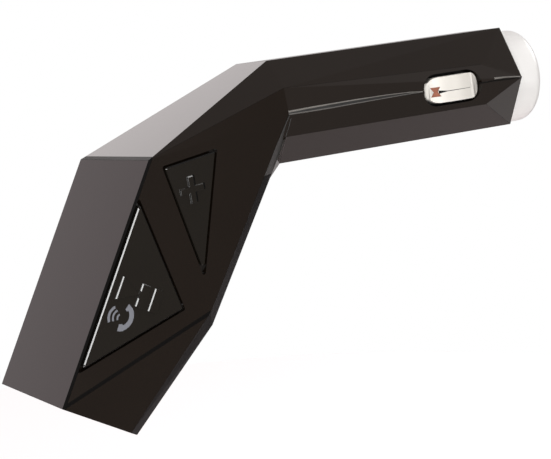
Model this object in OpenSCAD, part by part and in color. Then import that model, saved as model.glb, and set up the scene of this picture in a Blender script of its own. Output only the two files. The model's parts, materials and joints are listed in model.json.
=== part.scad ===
// Car FM transmitter: a faceted head with a smoked window, on a plug arm for a 12 V lighter socket.
// The origin is on the plug's axis at the arm's end face. +X runs out of the arm towards the
// nose, +Z is up, and the head hangs from the arm's other end. The near side is -Y.
// The head's own frame starts at the middle of its brow edge, where the front face meets the
// slanted top: its x is depth behind the front face, its y is the part's y, its z runs up the face.

/* [Plug arm] */
// Width across the two ridges of the arm
plug_w = 20.4; // [20:0.1:20.8]
// Length of the arm's flat top
arm_len = 42.2; // [40:0.1:50]
// Height of the flat top above the plug's axis
arm_up = 8.2; // [7.8:0.1:8.6]
// Depth of the flat underside below the plug's axis
arm_down = 7.5; // [7.5:0.1:8]
// Width of the flat top
top_flat_w = 11; // [9:0.1:12]
// Width of the flat underside
bottom_flat_w = 10.6; // [9:0.1:12]
// Width across the upper creases at the head
upper_crease_w = 19.2; // [18.4:0.1:19.6]
// Height of the upper creases at the head
upper_crease_z = 3.9; // [3:0.1:4.5]
// Width across the creases where the end facets start
tip_crease_w = 18.8; // [18:0.1:19.2]
// Height of the upper creases where the end facets start
tip_crease_z = 2.9; // [2.4:0.1:3.6]
// Depth of the lower creases below the plug's axis
lower_crease_z = 3.4; // [2.8:0.1:4]
// Length of the end facets
tip_len = 6.8; // [5:0.1:9]

/* [Head] */
// Lean of the front face, from upright
tilt = 29.2; // [20:0.1:40]
// Height of the front face
face_h = 36.8; // [34:0.1:44]
// Width of the front face
face_w = 28.8; // [27:0.1:34]
// Length of the slanted top from brow to arm
brow_len = 27.1; // [25:0.1:32]
// Slope of the slanted top
brow_slope = 24.8; // [20:0.1:30]
// Depth of the seam where the side faces end
seam_mid_depth = 18.3; // [17.5:0.1:19.2]
// Drop of that place below the brow
seam_mid_drop = 17; // [15:0.1:19]
// Depth of the seam where the lower facets start
seam_low_depth = 18; // [17.2:0.1:19]
// Drop of that place below the brow
seam_low_drop = 19.9; // [19:0.1:24]
// Width of the head at that place
seam_low_w = 20.2; // [19:0.1:22]
// Depth of the seam at the foot
foot_depth = 12.8; // [12.4:0.1:15]
// Width of the foot at the seam
foot_w = 20; // [19:0.1:22]
// Fall of the foot from the front face to its rear edge
foot_fall = 0.4; // [0:0.1:1]
// Bevel round the rear cover
rear_bevel = 1.7; // [1.2:0.1:2.2]

/* [Shells] */
// Wall of both shells
wall = 1.5; // [1.2:0.1:1.8]
// Thickness of the smoked window behind its edge
window_t = 1.2; // [1:0.1:1.4]
// Thickness of the window's edge, which covers the whole front face
window_edge_t = 0.5; // [0.4:0.1:0.6]
// Wall behind the window
bulkhead_t = 1.2; // [1:0.1:1.4]
// Width of the display opening in that wall
display_w = 20; // [16:0.1:21]

/* [Keys] */
// Gap round each key
key_gap = 0.35; // [0.3:0.05:0.5]
// Height of the lower keys above the side face
play_raise = 0.35; // [0.2:0.05:0.8]
// Height of the upper keys above the side face
plus_raise = 0.15; // [0.1:0.05:0.4]
// Corner radius of the keys
key_r = 0.3; // [0.2:0.1:1]
// Bevel round the outer face of the lower keys
play_bevel = 0.25; // [0.1:0.05:0.4]
// Bevel round the outer face of the upper keys
plus_bevel = 0.15; // [0.05:0.05:0.3]
// Travel of each key
key_travel = 0.3; // [0.2:0.05:0.4]

// Height of the raised marks on the keys
mark_t = 0.25; // [0.1:0.05:0.4]

/* [Side contacts] */
// Distance of the slot's middle from the arm's end
slot_x = 12.9; // [12:0.1:16]
// Length of the slot along the arm
slot_len = 10.7; // [9:0.1:11.5]
// Height of the slot
slot_h = 5; // [4.4:0.1:5.6]
// How far the dome of a side contact stands out of the ridge
contact_out = 1; // [0.6:0.1:1.4]
// Travel of a side contact
contact_travel = 1; // [0.6:0.1:1.2]

/* [Nose] */
// Radius of the nose cap
cap_r = 7.5; // [7:0.1:7.5]
// Length of the nose cap
cap_len = 6; // [5:0.1:7]
// Rounding of the nose cap's edge
cap_round = 1.4; // [0.8:0.1:1.8]
// Radius of the centre contact
pin_r = 2.2; // [1.8:0.1:2.4]
// How far the centre contact stands out of the cap
pin_out = 1.5; // [1.2:0.1:2]
// Travel of the centre contact
pin_travel = 1.3; // [0.8:0.1:1.5]

/* [Charging port and card slot] */
// Width of the charging port's metal shell
port_w = 13.1; // [12.8:0.1:13.4]
// Height of the charging port's metal shell
port_h = 5.7; // [5.5:0.1:5.9]
// Length of the charging port's metal shell
port_len = 13.4; // [12:0.1:14]
// Width of the memory card slot
card_w = 11.6; // [11.2:0.1:12]
// Height of the memory card slot
card_h = 1.1; // [1:0.1:1.2]

/* [Boards] */
// Thickness of the main board
board_t = 1; // [0.8:0.1:1.2]
// Width of the main board
board_w = 19; // [18:0.1:19.4]
// Depth of the display module on the main board
module_t = 3.4; // [3:0.1:3.6]
// Width of the power board in the arm
power_w = 12.4; // [11:0.1:13]
// Length of the power board
power_len = 29; // [26:0.1:31]

/* [Hidden] */
$fn = 48;

// One overrun serves every cut
over = 0.5;
// Clearance between fixed pieces
fit = 0.1;
// How much shorter the ridges are than the flat top
ridge_step = 0.3;
// Steps in a rounded corner
corner_steps = 4;

ridge_len = arm_len - ridge_step;
brow_x = -arm_len - brow_len * cos(brow_slope);
brow_z = arm_up - brow_len * sin(brow_slope);

// From the head's frame to the part's, and back
function head_x(d, z) = brow_x + d * cos(tilt) + z * sin(tilt);
function head_z(d, z) = brow_z - d * sin(tilt) + z * cos(tilt);
function at_head(d, y, z) = [head_x(d, z), y, head_z(d, z)];
function depth_of(x, z) = (x - brow_x) * cos(tilt) - (z - brow_z) * sin(tilt);
function rise_of(x, z) = (x - brow_x) * sin(tilt) + (z - brow_z) * cos(tilt);
function both(p) = [p, [p.x, -p.y, p.z]];
function flatten(lists) = [for (list = lists) for (item = list) item];

// The seam between the shells, as depth and height on the head
seam_top_depth = depth_of(-ridge_len, 0);
seam_top_rise = rise_of(-ridge_len, 0);
side_lean = (face_w - plug_w) / 2 / seam_top_depth;
side_angle = atan(side_lean);
foot_rear_drop = face_h + foot_fall;
brow_grade = rise_of(-arm_len, arm_up) / depth_of(-arm_len, arm_up);
function half_at(d) = face_w / 2 - d * side_lean;
function foot_drop_at(d) = face_h + foot_fall * d / (foot_depth + rear_bevel);

// Corners of the outside, for one side
brow_corner = at_head(0, face_w / 2, 0);
chin_corner = at_head(0, face_w / 2, -face_h);
top_root = [-arm_len, top_flat_w / 2, arm_up];
top_tip = [0, top_flat_w / 2, arm_up];
upper_root = [-ridge_len, upper_crease_w / 2, upper_crease_z];
upper_tip = [-tip_len, tip_crease_w / 2, tip_crease_z];
ridge_root = [-ridge_len, plug_w / 2, 0];
ridge_tip = [0, plug_w / 2, 0];
lower_tip = [-tip_len, tip_crease_w / 2, -lower_crease_z];
under_tip = [0, bottom_flat_w / 2, -arm_down];
under_root = [-arm_len, bottom_flat_w / 2, -arm_down];
seam_mid = at_head(seam_mid_depth, half_at(seam_mid_depth), -seam_mid_drop);
seam_low = at_head(seam_low_depth, seam_low_w / 2, -seam_low_drop);
seam_foot = at_head(foot_depth, foot_w / 2, -foot_drop_at(foot_depth));
rear_top = at_head(seam_top_depth + rear_bevel, plug_w / 2 - rear_bevel, seam_top_rise);
rear_knee = at_head(seam_mid_depth + rear_bevel, half_at(seam_mid_depth) - rear_bevel,
                    -(seam_mid_drop + seam_low_drop) / 2);
rear_foot = at_head(foot_depth + rear_bevel, foot_w / 2 - rear_bevel, -foot_rear_drop);

// Where a height below the axis meets the seam behind the head
seam_run = (seam_top_depth - seam_mid_depth) / (seam_top_rise + seam_mid_drop);
function seam_depth_at(rise) = seam_top_depth - (seam_top_rise - rise) * seam_run;
// Rise on the head's rear where the corner chamfer under the arm ends
chamfer_rise = 5;
chamfer_end = at_head(seam_depth_at(chamfer_rise) + rear_bevel,
                      half_at(seam_depth_at(chamfer_rise)) - rear_bevel, chamfer_rise);
chamfer_side = [-arm_len - ridge_step, tip_crease_w / 2, -lower_crease_z];

// Moves each corner of a counter-clockwise outline inwards
function unit(v) = v / norm(v);
function inset_corner(a, b, c, d) =
  let (u = unit(b - a), v = unit(c - b)) b + d * (v - u) / (u.x * v.y - u.y * v.x);
function inset(pts, d) = let (n = len(pts))
  [for (i = [0:n - 1]) inset_corner(pts[(i + n - 1) % n], pts[i], pts[(i + 1) % n], d)];
// Rounds each corner of a counter-clockwise outline
function rounded(pts, r) = let (n = len(pts), centres = inset(pts, r))
  [for (i = [0:n - 1])
    let (u = unit(pts[i] - pts[(i + n - 1) % n]), v = unit(pts[(i + 1) % n] - pts[i]),
         start = atan2(-u.x, u.y), turn = atan2(u.x * v.y - u.y * v.x, u * v))
    for (k = [0:corner_steps])
      centres[i] + r * [cos(start + turn * k / corner_steps), sin(start + turn * k / corner_steps)]];

// A convex solid through the given points
module convex(points) {
  hull() polyhedron(points, [for (i = [0:len(points) - 3]) [i, i + 1, i + 2]]);
}

// A closed solid through rings of equal length, each counter-clockwise seen from the last
module loft(rings) {
  n = len(rings[0]);
  m = len(rings);
  sides = [for (i = [0:m - 2]) for (j = [0:n - 1])
    let (a = i * n + j, b = i * n + (j + 1) % n) for (f = [[a, a + n, b + n], [a, b + n, b]]) f];
  first = [for (j = [0:n - 1]) j];
  last = [for (j = [n - 1:-1:0]) (m - 1) * n + j];
  polyhedron(flatten(rings), concat(sides, [first, last]));
}

module head_frame() {
  translate([brow_x, 0, brow_z]) rotate([0, tilt, 0]) children();
}

// On a side face: x runs back from the front edge, y up the face and z outwards
module on_side(far) {
  mirror([0, far ? 1 : 0, 0]) head_frame()
    translate([0, -face_w / 2, 0]) rotate([0, 0, side_angle]) rotate([90, 0, 0]) children();
}

// A profile in the part's x and z, drawn out to both sides
module across(width, profile) {
  rotate([90, 0, 0]) linear_extrude(width, center = true) polygon(profile);
}

// A solid along the arm from x0 to x1 with a section given as y and z
module along_arm(x0, x1, section) {
  translate([x0, 0, 0]) rotate([90, 0, 90]) linear_extrude(x1 - x0) polygon(section);
}

module along_x(r, x0, x1) {
  translate([x0, 0, 0]) rotate([0, 90, 0]) cylinder(r = r, h = x1 - x0);
}

// A bar in the head's frame from its front and top, centred on a place across the head
module head_block(d, w, t, top, h, y = 0) {
  head_frame() translate([d, y - w / 2, top - h]) cube([t, w, h]);
}

// A round bar in the head's frame that runs back from the front face
module head_rod(r, y, z, d0, d1) {
  head_frame() translate([d0, y, z]) rotate([0, 90, 0]) cylinder(r = r, h = d1 - d0);
}

/* Outer forms of the two shells */

module front_outer() {
  // The heart lies inside the head, so that the arm and the head overlap
  heart = [-arm_len - wall, 0, upper_crease_z];
  convex(flatten([for (p = [brow_corner, chin_corner, top_root, upper_root, ridge_root,
                            seam_mid, seam_low, seam_foot]) both(p)]));
  convex(concat([heart], flatten([for (p = [top_root, top_tip, upper_root, upper_tip,
                                            ridge_root, ridge_tip]) both(p)])));
}

module front_of_seam() {
  far = brow_x - face_h;
  across(face_w + over, [[ridge_root.x, ridge_root.z], [far, ridge_root.z], [far, seam_foot.z - face_w],
    [seam_foot.x - face_w * sin(tilt), seam_foot.z - face_w * cos(tilt)],
    [seam_foot.x, seam_foot.z], [seam_low.x, seam_low.z], [seam_mid.x, seam_mid.z]]);
}

module rear_outer() {
  // The lower half of the arm starts inside the head and is cut off at the seam
  deep = -arm_len - arm_down / 2;
  difference() {
    union() {
      convex(flatten([for (p = [[deep, plug_w / 2, 0], ridge_tip, [deep, tip_crease_w / 2, -lower_crease_z],
                                lower_tip, [deep, bottom_flat_w / 2, -arm_down], under_tip]) both(p)]));
      convex(flatten([for (p = [ridge_root, seam_mid, seam_low, seam_foot,
                                rear_top, rear_knee, rear_foot]) both(p)]));
      convex(concat([[under_root.x, 0, -lower_crease_z]],
                    flatten([for (p = [chamfer_side, under_root, chamfer_end]) both(p)])));
    }
    front_of_seam();
  }
}

/* Hollows */

upper_section = [[-plug_w / 2, 0], [plug_w / 2, 0], [upper_crease_w / 2, upper_crease_z],
                 [top_flat_w / 2, arm_up], [-top_flat_w / 2, arm_up], [-upper_crease_w / 2, upper_crease_z]];
lower_section = [[plug_w / 2, 0], [-plug_w / 2, 0], [-tip_crease_w / 2, -lower_crease_z],
                 [-bottom_flat_w / 2, -arm_down], [bottom_flat_w / 2, -arm_down],
                 [tip_crease_w / 2, -lower_crease_z]];
hollow_top = inset(upper_section, wall);
hollow_low = inset(lower_section, wall);
// The hollow's halves of the ridge, opened through the seam
upper_hollow = [for (p = hollow_top) [p.x, p.y > wall ? p.y : -over]];
lower_hollow = [for (p = hollow_low) [p.x, p.y < -wall ? p.y : over]];
// The end facets draw the arm in, so its hollow stops short of them
hollow_end = -wall * 2;

module arm_hollow_upper() {
  along_arm(-arm_len, hollow_end, upper_hollow);
}

module arm_hollow_lower() {
  along_arm(-arm_len - arm_down, hollow_end, lower_hollow);
}

// The display opening's upper edge and height, as shares of the front face's height
display_drop_share = 0.1033;
display_h_share = 0.2717;
display_drop = face_h * display_drop_share;
display_h = face_h * display_h_share;

side_wall = wall / cos(side_angle);
brow_wall = wall * norm([brow_grade, 1]);
hollow_front = window_t + bulkhead_t;

module head_hollow() {
  back = seam_depth_at(-seam_mid_drop) + over;
  crease = upper_hollow[2];
  foot_back = foot_depth + (seam_low_depth - foot_depth) * wall / (foot_rear_drop - seam_low_drop) + over;
  points = [
    at_head(hollow_front, half_at(hollow_front) - side_wall - wall / 2, hollow_front * brow_grade - brow_wall),
    at_head(hollow_front, half_at(hollow_front) - side_wall, -wall),
    at_head(hollow_front, half_at(hollow_front) - side_wall, -face_h + wall),
    [-arm_len, upper_hollow[3].x, upper_hollow[3].y],
    [-arm_len, crease.x, crease.y],
    at_head(seam_top_depth + over, half_at(seam_top_depth) - side_wall, seam_top_rise - over),
    at_head(back, half_at(seam_mid_depth) - side_wall, -seam_mid_drop),
    at_head(seam_low_depth + over, seam_low_w / 2 - side_wall, -seam_low_drop),
    at_head(foot_back, foot_w / 2 - side_wall, -foot_drop_at(foot_depth) + wall)
  ];
  convex(flatten([for (p = points) both(p)]));
}

/* Keys, their openings, switches and plungers */

// Corners of the keys on the side face, as shares of the front face's height
play_key_shares = [[0.02, -0.1648], [0.02, -0.8394], [0.3743, -0.485]];
plus_key_shares = [[0.082, -0.003], [0.413, -0.318], [0.277, 0.139]];
// Thickness of a key's face plate below the side face, and the depth of its pocket
plate_t = 0.5;
pocket_t = plate_t + key_travel + fit;
// The stem is smaller than the plate, and the flange inside the wall keeps the key in
stem_in = 1.4;
flange_w = 0.9;
flange_t = 0.7;
// Stem and flange stay behind the wall that carries the window
stem_s = (hollow_front + key_gap + (wall + flange_t + key_travel) * sin(side_angle)) / cos(side_angle);
// The peg that presses the switch
peg_r = 1.3;

function key_outline(shares, grow) =
  rounded(inset(shares * face_h, -grow), max(key_r + min(grow, 0), key_r / 2));

// The stem's outline grown by a width, between two depths
module key_stem(shares, grow, deep, high) {
  intersection() {
    translate([0, 0, deep]) linear_extrude(high - deep) polygon(key_outline(shares, grow - stem_in));
    translate([stem_s + flange_w - grow, -face_h, deep]) cube([face_h, face_h * 2, high - deep]);
  }
}

module key(shares, raise, bevel, press_z) {
  outline = key_outline(shares, 0);
  outer = key_outline(shares, -bevel);
  back = -wall - fit / 2;
  loft([[for (p = outline) [p.x, p.y, -plate_t]],
        [for (p = outline) [p.x, p.y, raise - bevel]],
        [for (p = outer) [p.x, p.y, raise]]]);
  key_stem(shares, 0, back - fit, -plate_t + fit);
  key_stem(shares, flange_w, back - flange_t, back);
  translate([peg_s, press_z, -peg_end]) cylinder(r = peg_r, h = peg_end + back);
  // A bar behind the wall joins the peg to the key's middle, wherever the switch has to be
  middle_z = (shares[0].y + shares[1].y + shares[2].y) / len(shares) * face_h;
  translate([peg_s - peg_r, min(press_z, middle_z), back - flange_t])
    cube([peg_r * 2, abs(press_z - middle_z) + fit, flange_t]);
}

module key_opening(shares) {
  translate([0, 0, -pocket_t]) linear_extrude(pocket_t + over) polygon(key_outline(shares, key_gap));
  key_stem(shares, key_gap, -wall - over, 0);
}

// The stack behind the window
module_gap = 0.1;
module_d = window_t + module_gap;
board_d = module_d + module_t;
board_back = board_d + board_t;
board_top = 2.6;
board_low = face_h - wall - fit;
// Switches lie on the back of the board and face the sides
switch_h = 3.6;
switch_len = 6.4;
switch_deep = 3.4;
switch_axis = 1.9;
switch_y = 7.8;
plunger_r = 0.9;
plunger_out = 0.9;
plunger_in = 0.6;
plunger_gap = 0.3;
// The upper switches are set by the keys, the lower ones also by the charging port below them
plus_z_share = 0.055;
port_mouth = -face_h - foot_fall * board_back / (foot_depth + rear_bevel) + wall / 2;
port_top = port_mouth + port_len;
switch_to_port = 2.1;
plus_z = -face_h * plus_z_share;
play_z = port_top + switch_to_port + switch_len / 2;
switch_d = board_back + switch_axis;
// Where the peg meets the plunger, along the side face and square to it
plunger_in_face = face_w / 2 - switch_y - plunger_out;
peg_s = switch_d * cos(side_angle) + plunger_in_face * sin(side_angle);
peg_end = plunger_in_face * cos(side_angle) - (switch_d + plunger_r) * sin(side_angle) - fit / 2;

module switch_body(z) {
  difference() {
    head_frame() translate([board_back, -switch_y, z - switch_len / 2])
      cube([switch_h, switch_deep, switch_len]);
    head_frame() translate([switch_d, -switch_y - over, z]) rotate([-90, 0, 0])
      cylinder(r = plunger_r + plunger_gap, h = over + plunger_in + key_travel + fit);
  }
}

module plunger(z) {
  head_frame() translate([switch_d, -switch_y - plunger_out, z]) rotate([-90, 0, 0])
    cylinder(r = plunger_r, h = plunger_out + plunger_in);
}

// Raised marks, drawn on the side face round a middle that is a share of the face's height
play_mark_share = [0.1534, -0.496];
plus_mark_share = [0.228, -0.038];
mark_half_share = 0.0467;
mark_bar_share = 0.0394;
mark_gap_share = 0.0231;
mark_reach_share = 0.0978;
sign_half_share = 0.0543;
sign_bar_share = 0.0245;
mark_half = face_h * mark_half_share;
mark_bar_w = face_h * mark_bar_share;
mark_bar_gap = face_h * mark_gap_share;
mark_reach = face_h * mark_reach_share;
sign_half = face_h * sign_half_share;
sign_bar_w = face_h * sign_bar_share;
sign_turn = 34;

module mark_frame(middle_share, raise) {
  translate([middle_share.x * face_h, middle_share.y * face_h, raise - mark_t]) children();
}

module mark_bar(x) {
  translate([x, -mark_half, 0]) cube([mark_bar_w, mark_half * 2, mark_t * 2]);
}

module mark_arrow(x) {
  linear_extrude(mark_t * 2) polygon([[x, -mark_half], [x + mark_reach, 0], [x, mark_half]]);
}

module play_mark() {
  mark_frame(play_mark_share, play_raise) {
    mark_arrow(-mark_reach);
    mark_bar(-fit);
    mark_bar(mark_bar_w + mark_bar_gap - fit);
  }
}

module channel_mark() {
  mark_frame(play_mark_share, play_raise) {
    mark_arrow(-mark_reach);
    mark_arrow(-fit);
    mark_bar(mark_reach - fit * 3);
  }
}

module sign_bar(turn) {
  rotate([0, 0, turn]) translate([-sign_half, -sign_bar_w / 2, 0])
    cube([sign_half * 2, sign_bar_w, mark_t * 2]);
}

module play_key() {
  color([0.07, 0.065, 0.06]) on_side(false) {
    key(play_key_shares, play_raise, play_bevel, play_z);
    play_mark();
  }
}

module plus_key() {
  color([0.07, 0.065, 0.06]) on_side(false) {
    key(plus_key_shares, plus_raise, plus_bevel, plus_z);
    mark_frame(plus_mark_share, plus_raise) {
      sign_bar(sign_turn);
      sign_bar(sign_turn + 90);
    }
  }
}

module channel_key() {
  color([0.07, 0.065, 0.06]) on_side(true) {
    key(play_key_shares, play_raise, play_bevel, play_z);
    channel_mark();
  }
}

module minus_key() {
  color([0.07, 0.065, 0.06]) on_side(true) {
    key(plus_key_shares, plus_raise, plus_bevel, plus_z);
    mark_frame(plus_mark_share, plus_raise) sign_bar(sign_turn);
  }
}

module play_switch() { color([0.2, 0.2, 0.2]) switch_body(play_z); }
module plus_switch() { color([0.2, 0.2, 0.2]) switch_body(plus_z); }
module channel_switch() { color([0.2, 0.2, 0.2]) mirror([0, 1, 0]) switch_body(play_z); }
module minus_switch() { color([0.2, 0.2, 0.2]) mirror([0, 1, 0]) switch_body(plus_z); }
module play_plunger() { color([0.9, 0.88, 0.8]) plunger(play_z); }
module plus_plunger() { color([0.9, 0.88, 0.8]) plunger(plus_z); }
module channel_plunger() { color([0.9, 0.88, 0.8]) mirror([0, 1, 0]) plunger(play_z); }
module minus_plunger() { color([0.9, 0.88, 0.8]) mirror([0, 1, 0]) plunger(plus_z); }

/* Nose: the collar of the shells, the cap, the guide, the centre contact and its spring */

collar_r = 6.2;
collar_out = cap_len - wall - fit;
collar_back = 6.4;
cap_wall = 1.4;
guide_r = 4.8;
guide_bore = 3.6;
pin_gap = 0.3;
pin_flange_t = 1.1;
pin_flange_r = guide_bore - pin_gap;
cap_inner = cap_len - cap_wall;
pin_back = cap_inner - fit - pin_flange_t;
spring_wire_r = 0.28;
spring_turns = 6;
spring_steps = 8;
spring_sides = 6;

module collar_half(up) {
  difference() {
    along_x(collar_r, -collar_back, collar_out);
    along_x(guide_r + fit, -collar_back - over, collar_out + over);
    translate([-collar_back - over, -collar_r - over, up ? -collar_r - over : 0])
      cube([collar_back + collar_out + over * 2, (collar_r + over) * 2, collar_r + over]);
  }
}

module nose_cap() {
  color([0.9, 0.9, 0.88]) rotate([0, 90, 0]) rotate_extrude()
    polygon(concat(
      [[collar_r + fit, 0], [cap_r, 0]],
      [for (a = [0:15:90]) [cap_r - cap_round * (1 - cos(a)), cap_len - cap_round * (1 - sin(a))]],
      [[pin_r + pin_gap, cap_len], [pin_r + pin_gap, cap_inner], [collar_r + fit, cap_inner]]));
}

module pin_guide() {
  color([0.15, 0.15, 0.16]) difference() {
    along_x(guide_r, -collar_back, cap_inner - fit);
    along_x(guide_bore, -collar_back + wall, cap_inner + over);
    along_x(pin_gap * 2, -collar_back - over, 0);
  }
}

module centre_contact() {
  dome = pin_r / 2;
  color([0.85, 0.85, 0.83]) rotate([0, 90, 0]) rotate_extrude()
    polygon(concat(
      [[0, pin_back], [pin_flange_r, pin_back], [pin_flange_r, pin_back + pin_flange_t],
       [pin_r, pin_back + pin_flange_t]],
      [for (a = [0:15:90]) [pin_r - dome * (1 - cos(a)), cap_len + pin_out - dome * (1 - sin(a))]],
      [[0, cap_len + pin_out]]));
}

module contact_spring() {
  r = guide_bore - spring_wire_r - fit * 3;
  x0 = -collar_back + wall + spring_wire_r + fit;
  x1 = pin_back - spring_wire_r - fit;
  steps = spring_turns * spring_steps;
  color([0.7, 0.7, 0.72]) loft([for (i = [0:steps])
    let (a = i / spring_steps * 360, x = x0 + (x1 - x0) * i / steps)
    [for (j = [0:spring_sides - 1])
      let (b = j / spring_sides * 360, q = r + spring_wire_r * cos(b))
      [x + spring_wire_r * sin(b), q * cos(a), q * sin(a)]]]);
}

/* Side contacts: a domed metal tongue behind each slot */

contact_gap = 0.5;
contact_flange_t = 0.4;
contact_flange_over = 1.1;
contact_flange_h = 5.1;
// Outer face of the flange, clear of the hollow's wall
flange_y = plug_w / 2 - wall - fit * 8;
dome_r = 7.7;

module oblong(length, height, depth) {
  r = height / 2;
  linear_extrude(depth) {
    translate([-(length - height) / 2, 0]) circle(r);
    translate([(length - height) / 2, 0]) circle(r);
    square([length - height, height], center = true);
  }
}

module slot_cut() {
  for (s = [-1, 1]) translate([-slot_x, s * plug_w / 2, 0]) rotate([90, 0, 0])
    translate([0, 0, -wall * 2]) oblong(slot_len, slot_h, wall * 4);
}

// The dome of the contact, shrunk by a thickness on every side
module contact_dome(less, low) {
  intersection() {
    translate([0, plug_w / 2 + contact_out - dome_r, -slot_h / 2])
      cylinder(r = dome_r - less, h = slot_h, $fn = 96);
    translate([0, plug_w, 0]) rotate([90, 0, 0])
      oblong(slot_len - (contact_gap + less) * 2, slot_h - (contact_gap + less) * 2, plug_w - low);
  }
}

module side_contact() {
  translate([-slot_x, 0, 0]) difference() {
    union() {
      contact_dome(0, flange_y - contact_flange_t / 2);
      translate([-slot_len / 2 - contact_flange_over, flange_y - contact_flange_t, -contact_flange_h / 2])
        cube([slot_len + contact_flange_over * 2, contact_flange_t, contact_flange_h]);
    }
    contact_dome(contact_flange_t, flange_y - contact_flange_t - over);
  }
}

module near_side_contact() { color([0.9, 0.89, 0.86]) mirror([0, 1, 0]) side_contact(); }
module far_side_contact() { color([0.9, 0.89, 0.86]) side_contact(); }

/* Bosses, screws and openings */

case_boss_r = 2.2;
case_screw_r = 1;
case_head_r = 1.9;
case_head_t = 1;
case_screw_len = 7;
case_top_rise = 5.6;
boss_gap = 0.3;
case_low_rise = -display_drop - display_h - case_boss_r - boss_gap;
post_r = 1.4;
post_hole_r = 0.7;
post_y = 8.3;
post_to_end = 4.8;
post_low_rise = -board_low + post_to_end;
post_top_rise = 0.4;
board_screw_len = 2.4;
board_head_r = 1.1;
board_head_t = 0.7;
pillar_gap = 0.5;
mic_y = 8.5;
mic_size = [1, 2.6, 3.2];
mic_hole_r = 0.5;
port_gap = 0.15;
port_d = board_back;
card_t = 1.5;
card_len = 12.4;
card_frame_w = 13.4;

boss_places = [[0, case_top_rise], [0, case_low_rise]];
post_places = [[0, post_top_rise], [-post_y, post_low_rise], [post_y, post_low_rise]];

// Depth of the screw head's seat in the rear cover
seat_back = seam_depth_at(0) + rear_bevel;
function seat_at(rise) = seam_depth_at(rise) + rear_bevel - case_head_t;

module front_holes() {
  // Display opening
  head_block(window_t - over, display_w, bulkhead_t + over * 2, -display_drop, display_h);
  // Keys
  for (far = [false, true]) on_side(far) {
    key_opening(play_key_shares);
    key_opening(plus_key_shares);
  }
  // Charging port, memory card slot and microphone in the foot
  foot_cut = -face_h + wall + over;
  head_block(port_d - port_gap, port_w + port_gap * 2, port_h + port_gap * 2, foot_cut, wall + over * 3);
  head_block(board_d - card_h - fit, card_w, card_h, foot_cut, wall + over * 3);
  head_frame() translate([board_back + mic_size.x / 2, mic_y, foot_cut - wall - over * 3])
    cylinder(r = mic_hole_r, h = wall + over * 4);
  // Screw holes
  for (p = boss_places)
    head_rod(case_screw_r, p.x, p.y, seat_at(p.y) + case_head_t - case_screw_len - fit, seat_back + over);
  for (p = post_places) head_rod(post_hole_r, p.x, p.y, board_back - board_screw_len, board_d + over);
  slot_cut();
  along_x(guide_r + fit, -collar_back, collar_out + over);
}

module front_shell() {
  color([0.06, 0.055, 0.05]) difference() {
    union() {
      difference() {
        front_outer();
        head_hollow();
        arm_hollow_upper();
      }
      collar_half(true);
      intersection() {
        front_outer();
        union() {
          for (p = boss_places) head_rod(case_boss_r, p.x, p.y, window_t, seam_depth_at(p.y));
          for (p = post_places) head_rod(post_r, p.x, p.y, window_t, board_d);
        }
      }
    }
    // The window's bed
    head_block(-over, face_w + over, window_edge_t + over, face_w, face_w * 2 + face_h);
    window_body(fit, window_t);
    front_holes();
  }
}

// A strip on the rear cover that reaches past the seam, close inside the front shell's side wall
lip_t = 0.8;
lip_out = 1.2;
lip_end = 2;
// The seam on the side face, at a height there
function seam_s(rise) = seam_depth_at(rise) / cos(side_angle);

module seam_lips() {
  top = seam_top_rise - lip_end * 2;
  low = -seam_mid_drop + lip_end;
  for (far = [false, true]) on_side(far) translate([0, 0, -wall - fit - lip_t]) linear_extrude(lip_t)
    polygon([[seam_s(top) - lip_out, top], [seam_s(low) - lip_out, low],
             [seam_s(low) + lip_out, low], [seam_s(top) + lip_out, top]]);
}

module rear_shell() {
  color([0.06, 0.055, 0.05]) difference() {
    union() {
      difference() {
        rear_outer();
        arm_hollow_lower();
      }
      seam_lips();
      collar_half(false);
      arm_ribs();
    }
    for (p = boss_places) {
      head_rod(case_screw_r + fit, p.x, p.y, 0, seat_back + over);
      head_rod(case_head_r + fit, p.x, p.y, seat_at(p.y), seat_back + wall);
    }
    slot_cut();
    along_x(guide_r + fit, -collar_back, collar_out + over);
  }
}

// The window's thicker middle, which sits in a bed in the front shell
window_in = 2.2;
module window_body(grow, back) {
  head_block(window_edge_t / 2, face_w - (window_in - grow) * 2, back - window_edge_t / 2,
    -window_in + grow, face_h - (window_in - grow) * 2);
}

module display_window() {
  lip = 0.6;
  color([0.12, 0.1, 0.1, 0.9]) {
    intersection() {
      front_outer();
      head_block(-over, face_w + over, window_edge_t + over, face_w, face_w * 2 + face_h);
    }
    window_body(0, window_t);
    head_block(window_edge_t, display_w - fit * 2, window_t - window_edge_t + lip,
      -display_drop - fit, display_h - fit * 2);
  }
}

module case_screws() {
  color([0.6, 0.6, 0.62]) for (p = boss_places) {
    head_rod(case_screw_r - fit, p.x, p.y, seat_at(p.y) + case_head_t - case_screw_len, seat_at(p.y) + fit);
    head_rod(case_head_r, p.x, p.y, seat_at(p.y), seat_at(p.y) + case_head_t - fit);
  }
}

module board_screws() {
  color([0.6, 0.6, 0.62]) for (p = post_places) {
    head_rod(post_hole_r - fit, p.x, p.y, board_back - board_screw_len + fit, board_back + fit);
    head_rod(board_head_r, p.x, p.y, board_back, board_back + board_head_t);
  }
}

/* Main board and what is on it */

module main_board() {
  color([0.05, 0.3, 0.15]) difference() {
    head_block(board_d, board_w, board_t, board_top, board_top + board_low);
    head_rod(case_boss_r + pillar_gap, 0, case_low_rise, board_d - over, board_back + over);
    for (p = post_places) head_rod(post_hole_r, p.x, p.y, board_d - over, board_back + over);
  }
}

digits_t = 0.4;

module display_module() {
  color([0.08, 0.08, 0.08]) head_block(module_d + lip_room, display_w - fit * 4, module_t - lip_room,
    -display_drop - fit * 2, display_h - fit * 4);
}

// The lip on the window's back reaches into the opening
lip_room = 0.9;
digit_count = 4;
digit_w = 3.2;
digit_h = 6.2;
digit_pitch = 4.4;

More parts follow.
